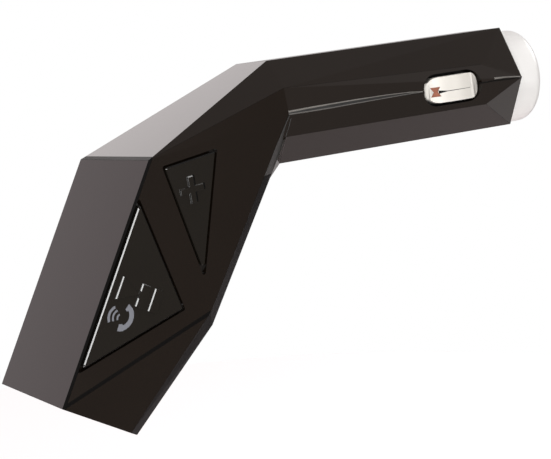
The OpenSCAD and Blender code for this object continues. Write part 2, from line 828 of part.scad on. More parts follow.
module display_digits() {
  color([0.85, 0.85, 0.82]) for (i = [0:digit_count - 1])
    head_block(module_d + lip_room - digits_t / 2, digit_w, digits_t / 2,
      -display_drop - (display_h - digit_h) / 2, digit_h, (i - (digit_count - 1) / 2) * digit_pitch);
}

port_wall = 0.3;
tongue_w = 11.1;
tongue_t = 1.9;
tongue_len = 8.6;
tongue_base = 3;

module usb_shell() {
  color([0.78, 0.78, 0.8]) difference() {
    head_block(port_d, port_w, port_h, port_top, port_len);
    head_block(port_d + port_wall, port_w - port_wall * 2, port_h - port_wall * 2,
      port_top - port_wall, port_len + over);
  }
}

module usb_tongue() {
  top = port_top - port_wall;
  color([0.93, 0.93, 0.93]) {
    head_block(port_d + port_wall, port_w - port_wall * 2, port_h - port_wall * 2, top, tongue_base);
    head_block(port_d + port_h / 2 - port_wall, tongue_w, tongue_t, top - tongue_base, tongue_len);
  }
}

module card_socket() {
  top = -board_low + card_len;
  color([0.75, 0.75, 0.77]) difference() {
    head_block(board_d - card_t, card_frame_w, card_t, top, card_len);
    head_block(board_d - card_h - fit, card_w, card_h, top - wall, card_len);
  }
}

module microphone() {
  color([0.8, 0.75, 0.5]) head_frame()
    translate([board_back, mic_y - mic_size.y / 2, -board_low]) cube(mic_size);
}

bluetooth_size = [0.9, 6, 6];
radio_size = [0.9, 4, 4];
crystal_size = [0.8, 2.5, 3.2];
chip_gap = 0.3;
crystal_rise = post_top_rise - board_head_r - chip_gap - crystal_size.z / 2;
bluetooth_rise = crystal_rise - crystal_size.z / 2 - chip_gap - bluetooth_size.z / 2;
// The radio chip is on the board's front, between the display and the card socket
radio_y = 6;
radio_rise = (card_len - board_low - display_drop - display_h) / 2;

module on_board(size, y, rise) {
  head_frame() translate([board_back, y - size.y / 2, rise - size.z / 2]) cube(size);
}

module bluetooth_chip() { color([0.1, 0.1, 0.1]) on_board(bluetooth_size, 0, bluetooth_rise); }
module radio_chip() {
  color([0.1, 0.1, 0.1]) head_frame()
    translate([board_d - radio_size.x, radio_y - radio_size.y / 2, radio_rise - radio_size.z / 2])
      cube(radio_size);
}
module crystal() { color([0.8, 0.8, 0.82]) on_board(crystal_size, 0, crystal_rise); }

/* Power board in the arm */

power_gap = 2.2;
power_x1 = -collar_back - power_gap;
power_x0 = power_x1 - power_len;
power_z = -2.6;
power_t = 1;
rib_t = 1.2;
rib_in = 5;
// Places of the coil, the capacitor and the chip along the power board
coil_share = 0.36;
can_share = 0.6;
chip_share = 0.1;
coil_r = 3.6;
coil_h = 4.2;
coil_x = power_x0 + power_len * coil_share;
core_r = 4.4;
flange_coil_t = 0.8;
can_r = 2.5;
can_len = 7;
can_x0 = power_x0 + power_len * can_share;
chip_size = [5, 4, 1.4];
chip_x = power_x0 + power_len * chip_share;

module arm_ribs() {
  intersection() {
    rear_outer();
    for (x = [power_x0 + rib_in, power_x1 - rib_in])
      translate([x - rib_t / 2, -plug_w / 2, -arm_down]) cube([rib_t, plug_w, arm_down + power_z]);
  }
}

module power_board() {
  color([0.05, 0.3, 0.15]) translate([power_x0, -power_w / 2, power_z]) cube([power_len, power_w, power_t]);
}

// A wire-wound drum coil: two flanges and the winding between them
module power_coil() {
  z0 = power_z + power_t;
  color([0.15, 0.15, 0.15]) translate([coil_x, 0, z0]) {
    cylinder(r = core_r, h = flange_coil_t);
    cylinder(r = coil_r, h = coil_h);
    translate([0, 0, coil_h - flange_coil_t]) cylinder(r = core_r, h = flange_coil_t);
  }
}

module input_capacitor() {
  color([0.2, 0.25, 0.45]) translate([0, 0, power_z + power_t + can_r + fit])
    along_x(can_r, can_x0, can_x0 + can_len);
}

module regulator_chip() {
  color([0.1, 0.1, 0.1]) translate([chip_x - chip_size.x / 2, -chip_size.y / 2, power_z + power_t])
    cube(chip_size);
}

/* Two short wires from the power board to the main board */

wire_r = 0.55;
wire_sides = 8;
wire_y = 3.6;
wire_steps = 12;
wire_start = [power_x0 + wall, power_z + power_t + wire_r];
wire_end_rise = 1.2;
wire_end = [head_x(board_back + wire_r, wire_end_rise), head_z(board_back + wire_r, wire_end_rise)];
wire_sag_shares = [0.5, 0.1];

// A smooth curve that leaves the power board level and comes down on the main board
function bezier(a, b, c, d, t) =
  a * pow(1 - t, 3) + b * 3 * t * pow(1 - t, 2) + c * 3 * t * t * (1 - t) + d * pow(t, 3);

module wire(y) {
  reach = wire_start.x - wire_end.x;
  a = wire_start;
  b = a - [reach * wire_sag_shares[0], 0];
  c = wire_end + [reach * wire_sag_shares[0], -reach * wire_sag_shares[1]];
  path = [for (i = [0:wire_steps]) bezier(a, b, c, wire_end, i / wire_steps)];
  loft([for (i = [0:wire_steps])
    let (p = path[max(i - 1, 0)], q = path[min(i + 1, wire_steps)], u = unit(q - p))
    [for (j = [0:wire_sides - 1]) let (g = j / wire_sides * 360)
      [path[i].x - u.y * wire_r * sin(g), y + wire_r * cos(g), path[i].y + u.x * wire_r * sin(g)]]]);
}

module supply_wire() { color([0.7, 0.08, 0.06]) wire(-wire_y); }
module ground_wire() { color([0.05, 0.05, 0.05]) wire(wire_y); }

front_shell();
rear_shell();
display_window();
play_key();
plus_key();
channel_key();
minus_key();
nose_cap();
pin_guide();
centre_contact();
contact_spring();
near_side_contact();
far_side_contact();
main_board();
display_module();
display_digits();
play_switch();
plus_switch();
channel_switch();
minus_switch();
play_plunger();
plus_plunger();
channel_plunger();
minus_plunger();
usb_shell();
usb_tongue();
card_socket();
microphone();
bluetooth_chip();
radio_chip();
crystal();
power_board();
power_coil();
input_capacitor();
regulator_chip();
supply_wire();
ground_wire();
case_screws();
board_screws();
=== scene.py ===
# %% [markdown]
# # A car FM transmitter, dressed for its photograph
# The solids of this transmitter come from a CAD model and are loaded as a fixed frame.
# This notebook gives them what a camera sees: softened edges, glossy black plastic,
# plated metal, printed marks, a lit studio and the photograph's point of view.

# %% Load the frame
import bpy
import bmesh
import json
import math
from mathutils import Vector, Matrix


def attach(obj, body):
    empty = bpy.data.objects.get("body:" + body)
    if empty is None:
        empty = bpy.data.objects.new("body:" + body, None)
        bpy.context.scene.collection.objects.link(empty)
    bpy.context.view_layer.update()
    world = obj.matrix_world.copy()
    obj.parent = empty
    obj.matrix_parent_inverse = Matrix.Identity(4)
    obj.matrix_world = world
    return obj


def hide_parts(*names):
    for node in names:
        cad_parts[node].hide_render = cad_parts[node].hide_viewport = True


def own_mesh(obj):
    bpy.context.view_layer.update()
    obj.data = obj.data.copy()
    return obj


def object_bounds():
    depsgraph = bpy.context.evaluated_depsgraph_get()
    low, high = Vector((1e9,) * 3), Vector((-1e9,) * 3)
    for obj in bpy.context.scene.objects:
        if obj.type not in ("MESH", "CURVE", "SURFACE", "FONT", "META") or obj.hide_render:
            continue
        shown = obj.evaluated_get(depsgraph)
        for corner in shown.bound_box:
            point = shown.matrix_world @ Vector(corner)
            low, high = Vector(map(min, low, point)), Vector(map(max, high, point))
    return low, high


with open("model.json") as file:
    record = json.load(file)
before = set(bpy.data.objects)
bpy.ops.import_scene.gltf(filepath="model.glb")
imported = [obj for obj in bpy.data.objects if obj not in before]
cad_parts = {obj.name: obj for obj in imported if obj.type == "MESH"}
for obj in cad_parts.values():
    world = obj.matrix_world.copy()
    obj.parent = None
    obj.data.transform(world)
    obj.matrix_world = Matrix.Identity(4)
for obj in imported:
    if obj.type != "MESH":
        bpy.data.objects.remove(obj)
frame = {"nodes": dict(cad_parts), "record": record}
cad_low, cad_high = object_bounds()
nodes = frame["nodes"]
bpy.ops.object.select_all(action="DESELECT")
mm = 0.001
print("nodes:", len(nodes), "box in mm:", [round(v / mm, 2) for v in (*cad_low, *cad_high)])

# %% [markdown]
# ## Where things are
# The origin is on the plug's axis at the arm's end face. The head leans, so its own places
# are written as depth behind the front face and height along it, measured from the middle
# of the brow edge. One small function turns such a place into the scene's x and z, and
# another does the same for a place on a side face.

# %% The head's own frame
lean = math.radians(29.2)
arm_length, arm_top = 42.2 * mm, 8.2 * mm
slope, slope_length = math.radians(24.8), 27.1 * mm
brow = Vector((-arm_length - slope_length * math.cos(slope), 0,
               arm_top - slope_length * math.sin(slope)))
face_width, arm_width, side_depth = 28.8, 20.4, 20.191
side_turn = math.atan((face_width - arm_width) / 2 / side_depth)


def on_head(depth, y, rise):
    """A place on the head, in metres, from depth, width and rise in millimetres."""
    d, z = depth * mm, rise * mm
    return brow + Vector((d * math.cos(lean) + z * math.sin(lean), y * mm,
                          -d * math.sin(lean) + z * math.cos(lean)))


def on_side(along, rise, out=0.0, far=False):
    """A place on a side face: along it from the front edge, up it, and out of it."""
    y = face_width / 2 - along * math.sin(side_turn) + out * math.cos(side_turn)
    depth = along * math.cos(side_turn) + out * math.sin(side_turn)
    return on_head(depth, y if far else -y, rise)


out_near = (on_side(0, 0, 1) - on_side(0, 0, 0)).normalized()
out_far = (on_side(0, 0, 1, True) - on_side(0, 0, 0, True)).normalized()
face_out = (on_head(-1, 0, 0) - on_head(0, 0, 0)).normalized()
print("brow in mm:", [round(v / mm, 2) for v in brow])
print("side turn in degrees:", round(math.degrees(side_turn), 2))

# %% [markdown]
# ## The camera
# The photograph was taken with a long lens from the near side, a little above the plug.
# Its place and turn were solved from the corners of the housing, so the same corners
# fall on the same pixels here. The three directions are the picture's right, its up
# and the way the camera looks.

# %% The photograph's point of view
cam_data = bpy.data.cameras.new("photo_camera")
camera = bpy.data.objects.new("photo_camera", cam_data)
bpy.context.scene.collection.objects.link(camera)
cam_right = Vector((0.88987, -0.43597, -0.13437))
cam_up = Vector((0.16897, 0.04138, 0.98475))
cam_look = Vector((0.42376, 0.89901, -0.11049))
cam_place = Vector((-153.86, -237.54, 11.24)) * mm
turn = Matrix((cam_right, cam_up, -cam_look)).transposed()
camera.matrix_world = Matrix.Translation(cam_place) @ turn.to_4x4()
focal_pixels, picture_width = 1697.56, 551
cam_data.sensor_width = 36.0
cam_data.lens = focal_pixels / picture_width * cam_data.sensor_width
cam_data.clip_start, cam_data.clip_end = 0.01, 10.0
bpy.context.scene.camera = camera
bpy.context.scene.view_settings.view_transform = "Standard"
print("lens in mm:", round(cam_data.lens, 1))

# %% [markdown]
# ## Helpers for materials
# Every finish here is a Principled shader. Moulded plastic and plated metal are never quite
# even, so each gets two noises on Object coordinates: a wide one for its colour and its
# roughness, and a fine one for its relief.

# %% One helper for a finish
scene_materials = {}
plastic_ior, least_roughness = 1.5, 0.02
grains_in_a_patch, relief_depth = 12, 0.0002


def finish(name, colour, metallic, roughness, bump=0.02, grain=900.0, spread=0.04, tint=0.12,
           stretch=(1, 1, 1)):
    """A finish whose colour, roughness and relief vary a little over the surface."""
    mat = bpy.data.materials.new(name)
    mat.use_nodes = True
    tree = mat.node_tree
    shader = tree.nodes["Principled BSDF"]
    shader.inputs["Metallic"].default_value = metallic
    shader.inputs["IOR"].default_value = plastic_ior
    place = tree.nodes.new("ShaderNodeTexCoord")
    mapping = tree.nodes.new("ShaderNodeMapping")
    mapping.inputs["Scale"].default_value = stretch
    tree.links.new(place.outputs["Object"], mapping.inputs["Vector"])
    fine = tree.nodes.new("ShaderNodeTexNoise")
    wide = tree.nodes.new("ShaderNodeTexNoise")
    for noise, scale, detail in ((fine, grain, 4.0), (wide, grain / grains_in_a_patch, 2.0)):
        noise.inputs["Scale"].default_value = scale
        noise.inputs["Detail"].default_value = detail
        tree.links.new(mapping.outputs["Vector"], noise.inputs["Vector"])
    rough = tree.nodes.new("ShaderNodeMapRange")
    rough.inputs["To Min"].default_value = max(least_roughness, roughness - spread)
    rough.inputs["To Max"].default_value = roughness + spread
    tree.links.new(wide.outputs["Fac"], rough.inputs["Value"])
    tree.links.new(rough.outputs["Result"], shader.inputs["Roughness"])
    shade = tree.nodes.new("ShaderNodeMix")
    shade.data_type = "RGBA"
    shade.inputs["A"].default_value = (*[c * (1 - tint) for c in colour], 1)
    shade.inputs["B"].default_value = (*[min(1.0, c * (1 + tint)) for c in colour], 1)
    tree.links.new(wide.outputs["Fac"], shade.inputs["Factor"])
    tree.links.new(shade.outputs["Result"], shader.inputs["Base Color"])
    relief = tree.nodes.new("ShaderNodeBump")
    relief.inputs["Strength"].default_value = bump
    relief.inputs["Distance"].default_value = relief_depth
    tree.links.new(fine.outputs["Fac"], relief.inputs["Height"])
    tree.links.new(relief.outputs["Normal"], shader.inputs["Normal"])
    scene_materials[name] = mat
    return mat


# %% [markdown]
# ## The finishes
# The housing, the keys and the window are black and glossy: almost all the light that
# leaves them is a reflection, so their colour is nearly black and their roughness low.
# The nose and the contacts are plated and pale. Inside there are boards, cans and wires.

# %% Finishes that the photograph shows
finish("housing_black", (0.0125, 0.0080, 0.0050), 0.0, 0.09, bump=0.012, grain=700, spread=0.025)
# Painted shade: a near-black finish that hardly reflects, for roundings, creases, gaps and parts
# in the shade.
painted_shade_black = finish("painted_shade_black", (0.0035, 0.003, 0.0027), 0.0, 0.45, spread=0.06)
edge_shader = painted_shade_black.node_tree.nodes["Principled BSDF"]
edge_shader.inputs["Specular IOR Level"].default_value = 0.12
finish("window_smoked", (0.033, 0.014, 0.016), 0.0, 0.05, bump=0.004, grain=300, spread=0.015)
finish("key_black", (0.0125, 0.0102, 0.0074), 0.0, 0.09, bump=0.012, spread=0.02)
finish("nose_metal", (0.96, 0.945, 0.92), 0.08, 0.36, bump=0.01, grain=500, spread=0.05,
       tint=0.02, stretch=(0.2, 1, 1))
contact_metal = finish("contact_metal", (0.865, 0.83, 0.765), 0.15, 0.42, bump=0.01, grain=500,
                       spread=0.05, tint=0.03)
print("finishes outside:", len(scene_materials))

# %% Finishes of what is hidden or inside
finish("spring_steel", (0.62, 0.62, 0.64), 1.0, 0.25, bump=0.01)
finish("guide_plastic", (0.04, 0.04, 0.043), 0.0, 0.5, bump=0.05)
finish("board_green", (0.012, 0.085, 0.035), 0.0, 0.3, tint=0.2)
finish("display_black", (0.012, 0.012, 0.013), 0.0, 0.2)
finish("display_segment", (0.5, 0.5, 0.47), 0.0, 0.5)
finish("switch_black", (0.03, 0.03, 0.032), 0.0, 0.45, bump=0.04)
finish("plunger_ivory", (0.72, 0.68, 0.58), 0.0, 0.4)
finish("port_metal", (0.66, 0.66, 0.67), 1.0, 0.3, stretch=(1, 1, 0.2))
finish("tongue_white", (0.78, 0.78, 0.75), 0.0, 0.45)
finish("card_metal", (0.6, 0.6, 0.61), 1.0, 0.35)
finish("microphone_metal", (0.62, 0.55, 0.36), 1.0, 0.35)
finish("chip_black", (0.02, 0.02, 0.021), 0.0, 0.55, bump=0.06)
finish("crystal_metal", (0.68, 0.68, 0.69), 1.0, 0.22)
finish("coil_dark", (0.05, 0.045, 0.04), 0.0, 0.5, bump=0.1)
finish("capacitor_sleeve", (0.03, 0.045, 0.13), 0.0, 0.3)
finish("wire_red", (0.42, 0.015, 0.01), 0.0, 0.4)
finish("wire_black", (0.015, 0.015, 0.015), 0.0, 0.4)
finish("screw_steel", (0.42, 0.42, 0.43), 1.0, 0.32)
print("finishes in all:", len(scene_materials))

# %% [markdown]
# ## Give the CAD nodes their finishes
# The record names a slot for every node. Each node's object keeps its shape and gets the
# finish of that name.

# %% Assign by the record's slots
slot_of = {part["node"]: part["material_slot"] for part in frame["record"]["subparts"]}
for name, obj in nodes.items():
    obj.data.materials.clear()
    obj.data.materials.append(scene_materials[slot_of[name]])
print("slots dressed:", len(set(slot_of.values())))

# %% [markdown]
# ## Softened edges
# A moulded housing has no knife edges: a small rounding lies along each one. Here the
# roundings get painted shade, a near-black finish that hardly reflects, so they draw a thin
# dark line round every face, as in the photograph. A CAD mesh is loose triangles, so a copy
# is merged and its flat triangles are dissolved into whole faces before its sharp edges get
# a bevel.

# %% Copy a node
merge_gap, flat_angle = 0.000002, math.radians(0.6)


def only(piece):
    """Select one piece alone and make it the active one."""
    bpy.ops.object.select_all(action="DESELECT")
    bpy.context.view_layer.objects.active = piece
    piece.select_set(True)


def twin(node, name, body):
    """A copy of a CAD node, merged into whole faces, which stands for it."""
    piece = bpy.data.objects.new(name, nodes[node].data.copy())
    bpy.context.scene.collection.objects.link(piece)
    only(piece)
    bpy.ops.object.mode_set(mode="EDIT")
    bpy.ops.mesh.select_all(action="SELECT")
    bpy.ops.mesh.remove_doubles(threshold=merge_gap)
    bpy.ops.mesh.dissolve_limited(angle_limit=flat_angle)
    bpy.ops.object.mode_set(mode="OBJECT")
    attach(piece, body)
    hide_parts(node)
    return piece


# %% Round the edges of a copy
def second_finish(piece, shade):
    """Give a piece a second finish, unless it has one."""
    if len(piece.data.materials) < 2:
        piece.data.materials.append(shade)


def rounded_edges(piece, width, edge_finish=None, segments=3, min_angle=8.0):
    """Bevel the sharp edges, in a finish of their own if one is given."""
    only(piece)
    bevel = piece.modifiers.new("edge", "BEVEL")
    bevel.width = width
    bevel.segments = segments
    bevel.limit_method = "ANGLE"
    bevel.angle_limit = math.radians(min_angle)
    bevel.use_clamp_overlap = True
    if edge_finish:
        second_finish(piece, edge_finish)
        bevel.material = 1
    bpy.ops.object.modifier_apply(modifier="edge")
    bpy.ops.object.shade_flat()
    print(piece.name, "faces:", len(piece.data.polygons))


# %% [markdown]
# The crease between each side face and the facet under it carries a broader band of painted
# shade than the other edges. Its edge is found by the directions of the two faces that meet
# there, and it gets a wider bevel of its own first, in the painted shade finish.

# %% A broad dark crease
def broad_crease(piece, way_a, way_b, width, edge_finish):
    """Bevel the edges where two flat faces meet, known by the ways they face."""
    ways, same_way = (Vector(way_a).normalized(), Vector(way_b).normalized()), 0.998
    second_finish(piece, edge_finish)
    only(piece)
    bpy.ops.object.mode_set(mode="EDIT")
    bpy.ops.mesh.select_mode(type="EDGE")
    bpy.ops.mesh.select_all(action="DESELECT")
    shape = bmesh.from_edit_mesh(piece.data)
    chosen = 0
    for edge in shape.edges:
        if len(edge.link_faces) == 2:
            facing = [face.normal for face in edge.link_faces]
            fits = any(facing[0].dot(one) > same_way and facing[1].dot(other) > same_way
                       for one, other in (ways, ways[::-1]))
            edge.select_set(fits)
            chosen += fits
    shape.select_flush_mode()
    bmesh.update_edit_mesh(piece.data)
    bpy.ops.mesh.bevel(offset=width, segments=2, material=1)
    bpy.ops.object.mode_set(mode="OBJECT")
    print(piece.name, "crease edges:", chosen)


# %% The housing's two shells
shell_edge, crease_width = 0.22 * mm, 0.3 * mm
housing_front = twin("front_shell", "housing_front", "housing")
# The side creases and all the roundings get painted shade.
for side_y in (-1, 1):
    side_way, facet_way = (0.178, side_y * 0.979, -0.099), (0.223, side_y * 0.940, -0.257)
    broad_crease(housing_front, side_way, facet_way, crease_width, painted_shade_black)
rounded_edges(housing_front, shell_edge, painted_shade_black, min_angle=15)
housing_rear = twin("rear_shell", "housing_rear", "housing")
rounded_edges(housing_rear, shell_edge, painted_shade_black)

# %% [markdown]
# Narrow strips run down the head's back edges. In the photograph they are as dark as the
# roundings, so their faces get the same painted shade too. In the inner corner behind the head
# the roundings shine as the faces do, so there they go back to the housing's own finish.

# %% Strips down the back
strip_ways = [Vector((x, y * side_y, z)) for side_y in (-1, 1) for x, y, z in
              ((0.589, 0.720, -0.366), (0.486, 0.695, -0.530), (0.441, 0.770, -0.462))]


def down_the_back(face):
    """Whether a face lies in the narrow strips down the head's back edges."""
    return any(face.normal.dot(way) > 0.995 for way in strip_ways)


corner_x, corner_z, corner_half = (-47 * mm, -42 * mm), (-10 * mm, -2.9 * mm), 9.3 * mm
shell_faces = (*housing_rear.data.polygons, *housing_front.data.polygons)
# The strips' faces get painted shade.
for face in shell_faces:
    middle = face.center
    in_corner = (corner_x[0] < middle.x < corner_x[1] and corner_z[0] < middle.z < corner_z[1]
                 and abs(middle.y) < corner_half)
    if down_the_back(face):
        face.material_index = 1
    elif in_corner:
        face.material_index = 0
print("dark strip faces:", sum(down_the_back(face) for face in shell_faces))

# %% [markdown]
# One smoked window covers the whole front face. Only its front shows the smoked finish. The
# thin sides and their roundings get painted shade, so that they draw a dark line round it.
# The faces are told apart by the way they face, which still holds if their numbers change.

# %% The window
window_edge, looks_forward = 0.15 * mm, 0.9
smoked_window = twin("display_window", "smoked_window", "housing")
rounded_edges(smoked_window, window_edge, painted_shade_black)
# The window's sides get painted shade.
for face in smoked_window.data.polygons:
    if face.normal.dot(face_out) < looks_forward:
        face.material_index = 1

# %% [markdown]
# ## The keys
# The keys are glossy too, but their edges are crisper than the housing's: each one catches a
# thin line of light. So the bevels are narrow and keep the key's own finish, apart from the
# one at the foot of the large keys' front rim, which gets painted shade. Where the play sign's
# triangle touches its first bar the corners are too close for a bevel, so the edges that end
# there are left out.

# %% A flat bevel on the edges that face the light
touch, neck_gap, lit_share = 0.01 * mm, 0.15 * mm, 0.8


def lit_edges(piece, height, width, far, edge_finish=None, upward=False):
    """Bevel the edges at a height over the side face that face the front, or that face up."""
    out, foot = out_far if far else out_near, on_side(0, 0, 0, far)
    level = out.dot(on_side(0, 0, height, far))
    to_light = ((on_side(0, 1, 0, far) if upward else on_side(-1, 0, 0, far)) - foot).normalized()
    only(piece)
    bpy.ops.object.mode_set(mode="EDIT")
    bpy.ops.mesh.select_mode(type="EDGE")
    bpy.ops.mesh.select_all(action="DESELECT")
    shape = bmesh.from_edit_mesh(piece.data)
    tops = [corner for corner in shape.verts if abs(out.dot(corner.co) - level) < touch]
    neck = [corner for corner in tops
            if any(touch < (corner.co - other.co).length < neck_gap for other in tops)]
    chosen = 0
    for edge in shape.edges:
        on_top = all(abs(out.dot(end.co) - level) < touch for end in edge.verts)
        faces_light = any(face.normal.dot(to_light) > lit_share for face in edge.link_faces)
        fits = on_top and faces_light and not any(end in neck for end in edge.verts)
        edge.select_set(fits)
        chosen += fits
    shape.select_flush_mode()
    bmesh.update_edit_mesh(piece.data)
    if edge_finish:
        second_finish(piece, edge_finish)
    if chosen:
        bpy.ops.mesh.bevel(offset=width, segments=1, material=1 if edge_finish else -1)
    bpy.ops.object.mode_set(mode="OBJECT")
    print(piece.name, "upward" if upward else "front", "edges, mm up:", round(height, 2), chosen)


# %% [markdown]
# That bar gets its bright edge by a cut instead. A cutter is a prism: a flat ring of corners is
# moved to the cut's outline and extruded, and a Boolean takes it out of the piece. Prisms of
# other outlines cut the contacts' notches and the screws' recesses further on.

# %% Draw a prism and cut it out of a piece
def thickened(piece, move):
    """Make a flat piece solid by extruding it, with its faces pointing outwards."""
    only(piece)
    bpy.ops.object.mode_set(mode="EDIT")
    bpy.ops.mesh.select_all(action="SELECT")
    bpy.ops.mesh.extrude_region_move(TRANSFORM_OT_translate={"value": move})
    bpy.ops.mesh.select_all(action="SELECT")
    bpy.ops.mesh.normals_make_consistent(inside=False)
    bpy.ops.object.mode_set(mode="OBJECT")


def prism(places, move):
    """A prism: one ring of corners, moved to the outline's places and extruded."""
    bpy.ops.object.select_all(action="DESELECT")
    bpy.ops.mesh.primitive_circle_add(vertices=len(places), radius=1.0, fill_type="NGON")
    piece = bpy.context.active_object
    for corner, place in zip(piece.data.vertices, places):
        corner.co = place
    thickened(piece, move)
    return piece


def cut(piece, cutter):
    """Take a cutter's shape out of a piece; the cut's faces keep the cutter's finish."""
    only(piece)
    taken = piece.modifiers.new("cut", "BOOLEAN")
    taken.operation = "DIFFERENCE"
    taken.solver = "EXACT"
    taken.object = cutter
    bpy.ops.object.modifier_apply(modifier="cut")
    bpy.data.objects.remove(cutter, do_unlink=True)


# %% A chamfer along the first bar
# The prism's corners along the side face and out of it, and from where to where it goes down
bar_outline = ((5.445, 0.36), (5.795, 0.71), (5.445, 0.71))
bar_stretches = ((-16.45, -17.65), (-18.75, -20.05))


def bar_chamfer(piece, top, bottom, far):
    """Chamfer a stretch of the front edge of the bar that the triangle's tip touches."""
    corners = [on_side(along, top, out, far) for along, out in bar_outline]
    cut(piece, prism(corners, on_side(0, bottom, 0, far) - on_side(0, top, 0, far)))


# %% Keys with crisp glossy edges
play_top, plus_top, mark_rise, play_bevel = 0.35, 0.15, 0.25, 0.25
sign_front, large_sign_top, small_sign_top = 0.14 * mm, 0.09 * mm, 0.15 * mm
rim_foot, fine_edge = 0.15 * mm, 0.05 * mm
key_tops = {"play_key": play_top, "plus_key": plus_top,
            "channel_key": play_top, "minus_key": plus_top}
far_keys = ("channel_key", "minus_key")
keys = {}
for node, top in key_tops.items():
    keys[node] = twin(node, node + "_glossy", node)
    far, large = node in far_keys, top == play_top
    if large:
        lit_edges(keys[node], top + mark_rise, sign_front, far)
    sign_top = large_sign_top if large else small_sign_top
    lit_edges(keys[node], top + mark_rise, sign_top, far, upward=True)
    if large:
        # The foot of the front rim gets painted shade.
        lit_edges(keys[node], top - play_bevel, rim_foot, far, painted_shade_black)
        for stretch_top, stretch_bottom in bar_stretches:
            bar_chamfer(keys[node], stretch_top, stretch_bottom, far)
    rounded_edges(keys[node], fine_edge, segments=2, min_angle=50)

# %% [markdown]
# The large keys' rim is bevelled all round. Its front bevel shines, and the others fall in
# the shade of the pocket, where they read as a dark outline, so those get the dark finish as
# painted shade. The small keys get that painted shade only on the rim's upper side, and on
# the sides of the raised sign that face the front.

# %% The dark side of the rim
over_foot, under_top, over_top = 0.05, 0.01, 0.02
steepest, flattest, shade_share, front_share = 0.4, 0.96, 0.3, 0.6
# The faces chosen here get painted shade.
for node, top in key_tops.items():
    key, far, large = keys[node], node in far_keys, top == play_top
    second_finish(key, painted_shade_black)
    out_way, foot = out_far if far else out_near, on_side(0, 0, 0, far)
    front_way = (on_side(-1, 0, 0, far) - foot).normalized()
    up_way = (on_side(0, 1, 0, far) - foot).normalized()
    shaded = 0
    for face in key.data.polygons:
        height, outward = out_way.dot(face.center - foot) / mm, face.normal.dot(out_way)
        to_front, to_up = face.normal.dot(front_way), face.normal.dot(up_way)
        in_shade = to_front < shade_share if large else to_up > shade_share
        on_rim = over_foot < height < top - under_top and steepest < outward < flattest
        on_sign = not large and height > top + over_top and to_front > front_share
        if (on_rim and in_shade) or on_sign:
            face.material_index = 1
            shaded += 1
    print(key.name, "shaded faces:", shaded)

# %% [markdown]
# The plus stands turned in its key. On its lower right sides a fine dark line of painted
# shade runs where the sign meets the key, drawn by a narrow groove beside each stroke. A
# cube's corners are moved to the groove's place, and it is cut out with its faces in the
# painted shade finish.

# %% The dark lines beside the plus
sign_middle, sign_turn = Vector((8.39, -1.4)), math.radians(34)
stroke_half, stroke_side = 2.0, 0.45
line_width, line_depth, under_stroke = 0.4, 0.06, 0.02
stroke_way = Vector((math.cos(sign_turn), math.sin(sign_turn)))
cross_way = Vector((-math.sin(sign_turn), math.cos(sign_turn)))
plus = keys["plus_key"]
# Each groove's faces get painted shade.
# Where each groove starts along one stroke, and its two ends along the other
for start, low, high in ((stroke_side, stroke_side, stroke_half),
                         (stroke_side, -stroke_half, -stroke_side),
                         (stroke_half, -stroke_side, stroke_side)):
    bpy.ops.object.select_all(action="DESELECT")
    bpy.ops.mesh.primitive_cube_add(size=1.0)
    groove = bpy.context.active_object
    for material in plus.data.materials:
        groove.data.materials.append(material)
    for face in groove.data.polygons:
        face.material_index = 1
    for corner in groove.data.vertices:
        share = corner.co + Vector((0.5, 0.5, 0.5))  # from 0 to 1 each way
        place = sign_middle + stroke_way * (start - under_stroke + share.x * line_width)
        place += cross_way * (low + share.y * (high - low))
        corner.co = on_side(place.x, place.y, plus_top - line_depth + share.z * 2 * line_depth)
    cut(plus, groove)
print(plus.name, "dark faces:", sum(face.material_index == 1 for face in plus.data.polygons))

# %% [markdown]
# ## The printed signs
# Under the raised play sign a telephone handset and three radio waves are printed in grey.
# Each is a set of flat curved bands. One edge is drawn, turned about a centre by a spin, and
# the band gets the thickness of a print with Solidify. The signs are drawn flat at the origin
# and laid on the key's face at the end.

# %% Finish of the print
print_grey = finish("print_grey", (0.225, 0.232, 0.262), 0.0, 0.5, tint=0.05)
print_lift, print_thick, degrees_in_a_step = 0.012, 0.02, 8


# %% Join pieces
def joined(pieces, name):
    """Join pieces into the first of them, under a name."""
    bpy.ops.object.select_all(action="DESELECT")
    for piece in pieces:
        piece.select_set(True)
    bpy.context.view_layer.objects.active = pieces[0]
    bpy.ops.object.join()
    pieces[0].name = name
    return pieces[0]


# %% Draw one curved band
def curved_band(along, rise, inner, outer, start, stop):
    """A flat band about a centre, from an inner to an outer radius and over an angle."""
    bpy.ops.object.select_all(action="DESELECT")
    bpy.ops.mesh.primitive_plane_add(size=1.0)
    band = bpy.context.active_object
    bpy.ops.object.mode_set(mode="EDIT")
    bpy.ops.mesh.select_mode(type="VERT")
    bpy.ops.mesh.select_all(action="DESELECT")
    shape = bmesh.from_edit_mesh(band.data)
    for corner in shape.verts:
        corner.select_set(corner.co.y > 0)
    bmesh.update_edit_mesh(band.data)
    bpy.ops.mesh.delete(type="VERT")
    bpy.ops.mesh.select_all(action="SELECT")
    ray = Vector((math.cos(math.radians(start)), math.sin(math.radians(start)), 0))
    shape = bmesh.from_edit_mesh(band.data)
    for corner in shape.verts:
        corner.co = ray * (inner if corner.co.x < 0 else outer)
    bmesh.update_edit_mesh(band.data)
    steps = max(3, int(abs(stop - start) / degrees_in_a_step))
    bpy.ops.mesh.spin(steps=steps, angle=math.radians(start - stop), center=(0, 0, 0),
                      axis=(0, 0, 1))
    bpy.ops.mesh.select_all(action="SELECT")
    bpy.ops.transform.translate(value=(along, rise, 0))
    bpy.ops.object.mode_set(mode="OBJECT")
    return band


